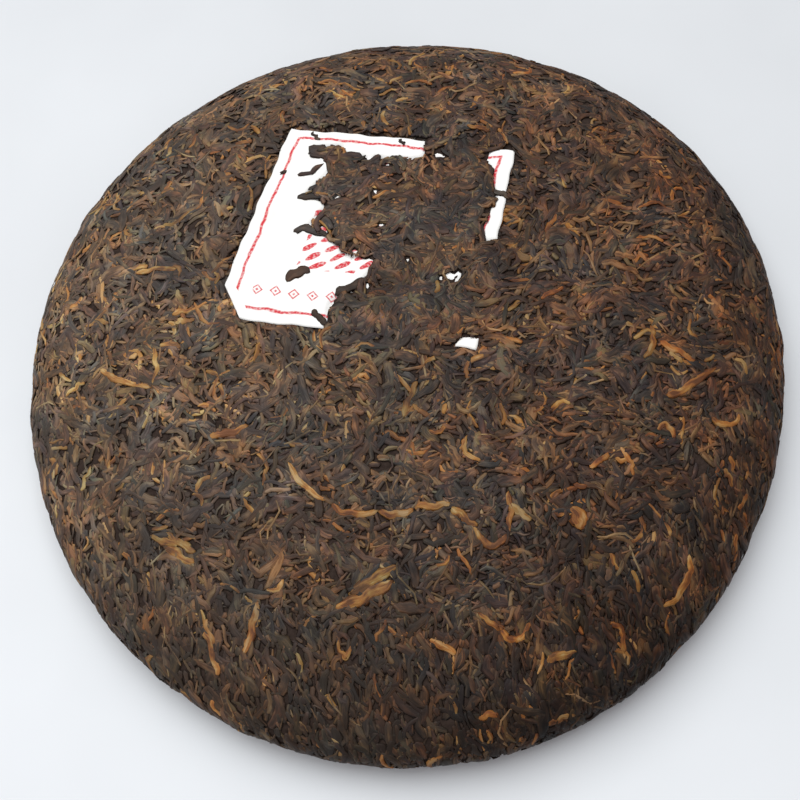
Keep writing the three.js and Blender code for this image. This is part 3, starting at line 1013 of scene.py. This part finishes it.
def paper_finish(ticket):
    """White paper with a red border, a field of leaf marks and a row of lozenges."""
    nodes = new_material("ticket_paper")
    sheet = nodes.add("ShaderNodeUVMap", uv_map="sheet").outputs["UV"]
    x, y, _ = nodes.parts(sheet)
    wobble = nodes.span(nodes.noise(sheet, 0.35), 0, 1, -INK_WOBBLE, INK_WOBBLE)

    def from_middle(value, middle):
        return nodes.math("ABSOLUTE", nodes.math("SUBTRACT", value, middle))

    def beyond(middle, half):
        gaps = (from_middle(value, centre) for value, centre in zip((x, y), middle))
        return nodes.math("MAXIMUM", *(nodes.math("SUBTRACT", gap, size) for gap, size in zip(gaps, half)))

    def drawn(distance, half_width):
        return nodes.span(distance, half_width - INK_BLUR, half_width + INK_BLUR, 1, 0)

    rising, falling = (nodes.along(sheet, way) for way in MARK_WAYS)
    edge = nodes.math("ADD", beyond(BORDER_MIDDLE, BORDER_HALF), wobble)
    border = drawn(nodes.math("ABSOLUTE", edge), BORDER_LINE)
    border = nodes.math("MULTIPLY", border, nodes.math("GREATER_THAN", rising, BORDER_CUT))
    ways = [
        nodes.math("DIVIDE", nodes.math("PINGPONG", way, gap), half)
        for way, gap, half in zip((rising, falling), MARK_GAPS, MARK_HALVES)
    ]
    leaf = nodes.math("ADD", *(nodes.math("MULTIPLY", way, way) for way in ways))
    field = nodes.math("LESS_THAN", beyond(MARKS_MIDDLE, MARKS_HALF), 0)
    sprigs = nodes.math("MULTIPLY", drawn(nodes.math("ADD", leaf, wobble), MARK_FULLNESS), field)
    lozenge = nodes.math("ADD", nodes.math("PINGPONG", x, LOZENGE_GAP), from_middle(y, ROW_HEIGHT))
    line = drawn(from_middle(lozenge, LOZENGE_HALF), LOZENGE_LINE)
    row = nodes.math("MAXIMUM", line, drawn(lozenge, LOZENGE_DOT))
    row = nodes.math("MULTIPLY", row, nodes.math("LESS_THAN", from_middle(x, 0), ROW_HALF))
    marks = nodes.math("MAXIMUM", nodes.math("MAXIMUM", border, sprigs), row)
    wear = nodes.span(nodes.noise(sheet, 1.6, 3), *INK_WEAR)
    stained = tuple(value * share for value, share in zip(ticket.paper, STAIN_TINT))
    clean, full = STAIN_NOISE
    paper = nodes.ramp(nodes.noise(sheet, 0.09, 3), ((clean, ticket.paper), (full, stained)))
    colour = nodes.mix(nodes.math("MULTIPLY", marks, wear), paper, (*ticket.ink, 1))
    fibre = nodes.noise(sheet, 2.4, 3)
    return nodes.finish(colour, nodes.vary(fibre, 0.95, 0.8), fibre, 0.05 * MM)


def floor_finish(stage, painted_shade_way=(0.5, 0.87, 0), painted_shade_stretch=(-120 * MM, 130 * MM), painted_shade_share=0.78):
    """Pale matt table top with the faintest mottle, a little greyer towards the back right."""
    nodes = new_material("floor")
    place = nodes.place()
    mottle = nodes.noise(place, 14, 3)
    # Painted shade: greyer towards the back right
    back = nodes.span(nodes.along(place, painted_shade_way), *painted_shade_stretch, 0, 0.8)
    shade = nodes.math("ADD", nodes.vary(mottle, 0, 0.2), back)
    grey = tuple(painted_shade_share * value for value in stage.floor)
    colour = nodes.even_ramp(shade, (stage.floor, grey))
    return nodes.finish(colour, nodes.vary(mottle, 0.6, 0.7), mottle, 0.02 * MM)


def dress(piece, material):
    """Gives a piece its material, its slot and its body."""
    piece.data.materials.append(material)
    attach(piece, "root")
    return piece


def start_mesh():
    """Object mode with nothing selected, ready for a new primitive."""
    if bpy.context.object and bpy.context.object.mode != "OBJECT":
        bpy.ops.object.mode_set(mode="OBJECT")
    bpy.ops.object.select_all(action="DESELECT")


def move_vertices(mesh, change):
    """Moves a mesh's vertices by a function of all their places."""
    places = np.empty(len(mesh.vertices) * 3)
    mesh.vertices.foreach_get("co", places)
    mesh.vertices.foreach_set("co", change(places.reshape(-1, 3)).ravel())
    mesh.update()


# Operators


class TEACAKE_OT_pressed_core(Operator):
    """Model the dark lumpy core under the leaves"""

    bl_idname = "tea_cake.pressed_core"
    bl_label = "Pressed Core"

    sides = 240
    rings = 100
    cap_reach = 2 * MM
    lump_size = 4 * MM
    lump_height = 0.5 * MM
    drop_under_paper = 0.9 * MM
    drop_reach = 2.5  # millimetres round the bare paper

    def execute(self, context):
        form = context.scene.tea_cake.form
        core = self.raise_shell(context, form)
        self.add_lumps(core)
        bpy.ops.object.shade_smooth()
        move_vertices(core.data, lambda places: self.settle(places, form))
        dress(core, core_finish(form))
        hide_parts("tea_cake")
        return {"FINISHED"}

    def raise_shell(self, context, form):
        """A closed round a little inside the leaves' skin, extruded ring by ring from the dome's top."""
        section = Section(form)
        reaches = np.linspace(self.cap_reach, section.end - self.cap_reach, self.rings)
        radius, height, run, rise = section.at(reaches)
        radius, height = radius + rise * form.core_depth, height - run * form.core_depth
        start_mesh()
        bpy.ops.mesh.primitive_circle_add(
            vertices=self.sides, radius=radius[0], fill_type="NGON", location=(0, 0, height[0])
        )
        core = context.object
        core.name = core.data.name = "pressed_core"
        bpy.ops.object.transform_apply(location=True)
        bpy.ops.object.mode_set(mode="EDIT")
        bpy.ops.mesh.select_all(action="SELECT")
        for before in range(self.rings - 1):
            after = before + 1
            bpy.ops.mesh.extrude_region_move(
                TRANSFORM_OT_translate={"value": (0, 0, height[after] - height[before])}
            )
            grow = radius[after] / radius[before]
            bpy.ops.transform.resize(value=(grow, grow, 1), center_override=(0, 0, height[after]))
        bpy.ops.mesh.select_all(action="SELECT")
        bpy.ops.mesh.normals_make_consistent(inside=False)
        bpy.ops.object.mode_set(mode="OBJECT")
        return core

    def add_lumps(self, core):
        """Pushes the core's skin in and out."""
        lumps = bpy.data.textures.new("core_lumps", "CLOUDS")
        lumps.noise_scale = self.lump_size
        displace = core.modifiers.new("Lumps", "DISPLACE")
        displace.texture = lumps
        displace.strength = self.lump_height
        bpy.ops.object.modifier_apply(modifier=displace.name)
        bpy.data.textures.remove(lumps)

    def settle(self, places, form):
        """The core made uneven, and sunk where bare paper lies on it."""
        on_top = places[:, 2] > 0.5 * form.height
        near = np.clip(2 * near_bare(to_ticket(places), self.drop_reach), 0, 1)
        sunk = places - np.array((0, 0, self.drop_under_paper)) * (on_top * near)[:, None]
        return uneven(sunk, form)


class TEACAKE_OT_paper_ticket(Operator):
    """Model the paper ticket pressed in under the top leaves"""

    bl_idname = "tea_cake.paper_ticket"
    bl_label = "Paper Ticket"

    columns = 96
    rows = 92
    # Sway of the sheet along x and along y: two waves each, as paces along x and y
    sway_sizes = (0.18, 0.12)
    sway_waves = (((4, 11), (0, 31)), ((12, -5), (29, 0)))
    # Folds as paces along x and y, a start and a size
    fold_waves = ((0.62, 0.31, 0, 1), (-0.4, 0.9, 1, 1), (1.7, 1.1, 0, 0.6))
    fold_share = 0.4
    edge_band = 1.03
    rise_share = 1.6
    rise_reach = 0.7  # millimetres round the bare paper

    def execute(self, context):
        settings = context.scene.tea_cake
        start_mesh()
        bpy.ops.mesh.primitive_grid_add(x_subdivisions=self.columns, y_subdivisions=self.rows, size=2)
        ticket = context.object
        ticket.name = ticket.data.name = "paper_ticket_sheet"
        sheet = ticket.data.uv_layers.new(name="sheet")
        corners = [ticket.data.vertices[loop.vertex_index].co.xy * SHEET_HALF for loop in ticket.data.loops]
        sheet.uv.foreach_set("vector", np.array(corners, np.float32).ravel())
        move_vertices(ticket.data, self.to_sheet)
        self.cut_corner()
        solidify = ticket.modifiers.new("Paper", "SOLIDIFY")
        solidify.thickness = settings.ticket.thickness
        solidify.offset = -1
        bpy.ops.object.modifier_apply(modifier=solidify.name)
        bpy.ops.object.shade_smooth()
        section = Section(settings.form)
        move_vertices(ticket.data, lambda places: self.drape(places, section, settings))
        dress(ticket, paper_finish(settings.ticket))
        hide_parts("paper_ticket")
        return {"FINISHED"}

    def to_sheet(self, places):
        """The square grid spread over the ticket's four corners, with a little sway."""
        top_left, top_right, low_right, low_left = MM * np.array(TICKET_CORNERS)
        right = (places[:, :1] + 1) / 2
        top = (places[:, 1:2] + 1) / 2
        upper = top_left * (1 - right) + top_right * right
        lower = low_left * (1 - right) + low_right * right
        x, y = places[:, 0], places[:, 1]
        sway = [
            sum(size * np.sin(along * x + up * y) for size, (along, up) in zip(self.sway_sizes, waves))
            for waves in self.sway_waves
        ]
        flat = upper * top + lower * (1 - top) + MM * np.stack(sway, axis=-1)
        return np.column_stack([flat, np.zeros(len(places))])

    @staticmethod
    def cut_corner():
        """Cuts the lower left corner off."""
        first, second = (Vector((x * MM, y * MM, 0)) for x, y in TICKET_CUT)
        along = second - first
        bpy.ops.object.mode_set(mode="EDIT")
        bpy.ops.mesh.select_all(action="SELECT")
        bpy.ops.mesh.bisect(plane_co=first, plane_no=(along.y, -along.x, 0), clear_inner=True, threshold=1e-7)
        bpy.ops.object.mode_set(mode="OBJECT")

    def drape(self, places, section, settings):
        """Lays the flat sheet on the dome: high where it is bare, deeper under the leaves."""
        ticket = settings.ticket
        sheet = places[:, :2] / MM
        bare_edge = ~inside(self.edge_band * sheet, TICKET_OUTLINE) & ~inside(sheet, COVER_OUTLINE)
        rise = np.clip(self.rise_share * near_bare(sheet, self.rise_reach), 0, 1)
        raised = np.where(bare_edge, 1, rise)
        depth = ticket.covered_depth + (ticket.bare_depth - ticket.covered_depth) * raised
        x, y = sheet.T
        folds = sum(size * np.sin(along * x + up * y + start) for along, up, start, size in self.fold_waves)
        plan = from_ticket(sheet)
        _, height, _, _ = section.at(section.reach_of(np.hypot(*plan.T)))
        drop = depth - self.fold_share * ticket.wrinkle * folds
        return uneven(np.column_stack([plan, height - drop + places[:, 2]]), settings.form)


class TEACAKE_OT_pressed_leaves(Operator):
    """Lay the leaves, tips, stems and crumbs on the dome and round the rim"""

    bl_idname = "tea_cake.pressed_leaves"
    bl_label = "Pressed Leaves"

    def execute(self, context):
        settings = context.scene.tea_cake
        form = settings.form
        section = Section(form)
        kinds = (
            ("broken_leaves", settings.broken, STEPS),
            ("dark_leaves", settings.dark, STEPS),
            ("brown_leaves", settings.brown, STEPS),
            ("golden_tips", settings.golden, STEPS),
            ("tea_stems", settings.stem, STEPS),
            ("fine_strands", settings.strand, SHORT_STEPS),
            ("leaf_crumbs", settings.crumb, CRUMB_STEPS),
        )
        for seed, (name, kind, steps) in enumerate(kinds, 11):
            rng = np.random.default_rng(seed)
            seats = spread_seats(rng, section, kind.count, 0, section.foot_start)
            extra = cover_seats(rng, section, kind.on_ticket)
            seats = thin_front(rng, section, kind, seats)
            seats = tuple(np.concatenate(pair) for pair in zip(seats, extra))
            strips = clear_ticket(section, form, draw_strips(rng, section, kind, seats, steps))
            dress(leaf_object(name, section, form, strips, rng, steps), leaf_finish(name, kind))
        return {"FINISHED"}


class TEACAKE_OT_traced_leaves(Operator):
    """Lay the leaves that catch the eye, and the bits on the paper"""

    bl_idname = "tea_cake.traced_leaves"
    bl_label = "Traced Leaves"

    dome_lift = -0.05 * MM
    paper_lift = -0.3 * MM

    def execute(self, context):
        settings = context.scene.tea_cake
        form = settings.form
        section = Section(form)
        golden, brown = (self.on_plan(traces, in_metres) for traces in (GOLDEN_TRACES, BROWN_TRACES))
        on_paper = self.on_plan(PAPER_BITS, from_ticket)
        groups = (
            ("golden_twists", settings.golden, golden, self.dome_lift, (0.3, 0.8), STRONG_MOTTLE),
            ("broad_leaves", settings.brown, brown, self.dome_lift, (0.4, 0.9), STRONG_MOTTLE),
            ("paper_bits", settings.dark, on_paper, self.paper_lift, (0.7, 1.2), MOTTLE),
        )
        for seed, (name, kind, traces, lift, points, mottle) in enumerate(groups, 51):
            rng = np.random.default_rng(seed)
            strips = trace_strips(rng, section, kind, traces, lift, points)
            dress(leaf_object(name, section, form, strips, rng, TRACE_STEPS), leaf_finish(name, kind, mottle))
        return {"FINISHED"}

    @staticmethod
    def on_plan(traces, to_plan):
        """Traces with their three places taken to the cake's plan."""
        return [(*to_plan(np.array(trace[:3])), *trace[3:]) for trace in traces]


class TEACAKE_OT_underside_leaves(Operator):
    """Lay the leaves pressed flat against the floor and into the hollow"""

    bl_idname = "tea_cake.underside_leaves"
    bl_label = "Underside Leaves"

    share = 0.55

    def execute(self, context):
        settings = context.scene.tea_cake
        form = settings.form
        section = Section(form)
        kinds = (("underside_dark_leaves", settings.dark), ("underside_brown_leaves", settings.brown))
        for seed, (name, kind) in enumerate(kinds, 31):
            rng = np.random.default_rng(seed)
            count = int(self.share * kind.count)
            seats = spread_seats(rng, section, count, section.foot_start, section.end)
            strips = draw_strips(rng, section, kind, seats, SHORT_STEPS)
            dress(leaf_object(name, section, form, strips, rng, SHORT_STEPS), leaf_finish(name, kind))
        return {"FINISHED"}


class TEACAKE_OT_stage(Operator):
    """Set up the pale floor, the soft light and the camera"""

    bl_idname = "tea_cake.stage"
    bl_label = "Stage"

    floor_sides = 96
    floor_radius = 1.4
    sky_bright = Vector((-0.2, 0.7, 0.8))
    key_place = Vector((-0.24, 0.9, 2.0))
    key_size = 2.4
    look_point = Vector((-2.25, -9.62, 12.0)) * MM
    sensor_width = 36  # millimetres
    clip_start = 0.01

    def execute(self, context):
        stage = context.scene.tea_cake.stage
        self.add_floor(context, stage)
        self.add_sky(context, stage)
        self.add_key(context, stage)
        self.add_camera(context, stage)
        context.scene.view_settings.view_transform = "Standard"
        return {"FINISHED"}

    def add_floor(self, context, stage):
        start_mesh()
        bpy.ops.mesh.primitive_circle_add(
            vertices=self.floor_sides, radius=self.floor_radius, fill_type="TRIFAN"
        )
        floor = context.object
        floor.name = floor.data.name = "floor"
        floor.data.materials.append(floor_finish(stage))

    def add_sky(self, context, stage):
        """Soft light, strongest from above the back, and a plain backdrop past the floor's edge."""
        nodes = Nodes(bpy.data.worlds.new("soft_sky"))
        direction = nodes.add("ShaderNodeTexCoord").outputs["Generated"]
        facing = nodes.along(direction, self.sky_bright.normalized())
        strength = nodes.span(facing, -1, 1, stage.sky_low, stage.sky_high)
        sky = nodes.fill(nodes.tree.nodes["Background"], {"Color": (*stage.sky, 1), "Strength": strength})
        backdrop = nodes.add("ShaderNodeBackground", {"Color": (*stage.backdrop, 1)})
        seen = nodes.add("ShaderNodeLightPath").outputs["Is Camera Ray"]
        sources = (seen, sky.outputs["Background"], backdrop.outputs["Background"])
        shown = nodes.add("ShaderNodeMixShader", dict(enumerate(sources)))
        nodes.fill(nodes.tree.nodes["World Output"], {"Surface": shown.outputs["Shader"]})
        context.scene.world = nodes.owner

    def add_key(self, context, stage):
        turn = (-self.key_place).to_track_quat("-Z", "Y").to_euler()
        bpy.ops.object.light_add(type="AREA", location=self.key_place, rotation=turn)
        key = context.object
        key.name = "key_light"
        key.data.color = stage.key_colour
        key.data.energy = stage.key_power
        key.data.size = self.key_size

    def add_camera(self, context, stage):
        ahead = Vector((0, math.cos(stage.elevation), -math.sin(stage.elevation)))
        turn = ahead.to_track_quat("-Z", "Y") @ Quaternion((0, 0, 1), stage.roll)
        place = self.look_point - stage.distance * ahead
        bpy.ops.object.camera_add(location=place, rotation=turn.to_euler())
        camera = context.object
        camera.name = "camera"
        camera.data.lens = stage.lens
        camera.data.sensor_width = self.sensor_width
        camera.data.clip_start = self.clip_start
        context.scene.camera = camera


class TEACAKE_PT_pieces(Panel):
    """Pieces of the tea cake"""

    bl_idname = "TEACAKE_PT_pieces"
    bl_label = "Tea Cake"
    bl_space_type = "VIEW_3D"
    bl_region_type = "UI"
    bl_category = "Tea Cake"

    def draw(self, context):
        for operator in OPERATORS:
            self.layout.operator(operator.bl_idname)


OPERATORS = (
    TEACAKE_OT_pressed_core,
    TEACAKE_OT_paper_ticket,
    TEACAKE_OT_pressed_leaves,
    TEACAKE_OT_underside_leaves,
    TEACAKE_OT_traced_leaves,
    TEACAKE_OT_stage,
)
CLASSES = (
    TeaCakeForm,
    *LEAF_GROUPS,
    TeaCakeTicket,
    TeaCakeStage,
    TeaCakeSettings,
    *OPERATORS,
    TEACAKE_PT_pieces,
)


def register():
    for item in CLASSES:
        bpy.utils.register_class(item)
    bpy.types.Scene.tea_cake = PointerProperty(type=TeaCakeSettings)


def unregister():
    del bpy.types.Scene.tea_cake
    for item in reversed(CLASSES):
        bpy.utils.unregister_class(item)


def main():
    register()
    bpy.ops.tea_cake.pressed_core()
    bpy.ops.tea_cake.paper_ticket()
    bpy.ops.tea_cake.pressed_leaves()
    bpy.ops.tea_cake.underside_leaves()
    bpy.ops.tea_cake.traced_leaves()
    bpy.ops.tea_cake.stage()


if __name__ == "__main__":
    main()
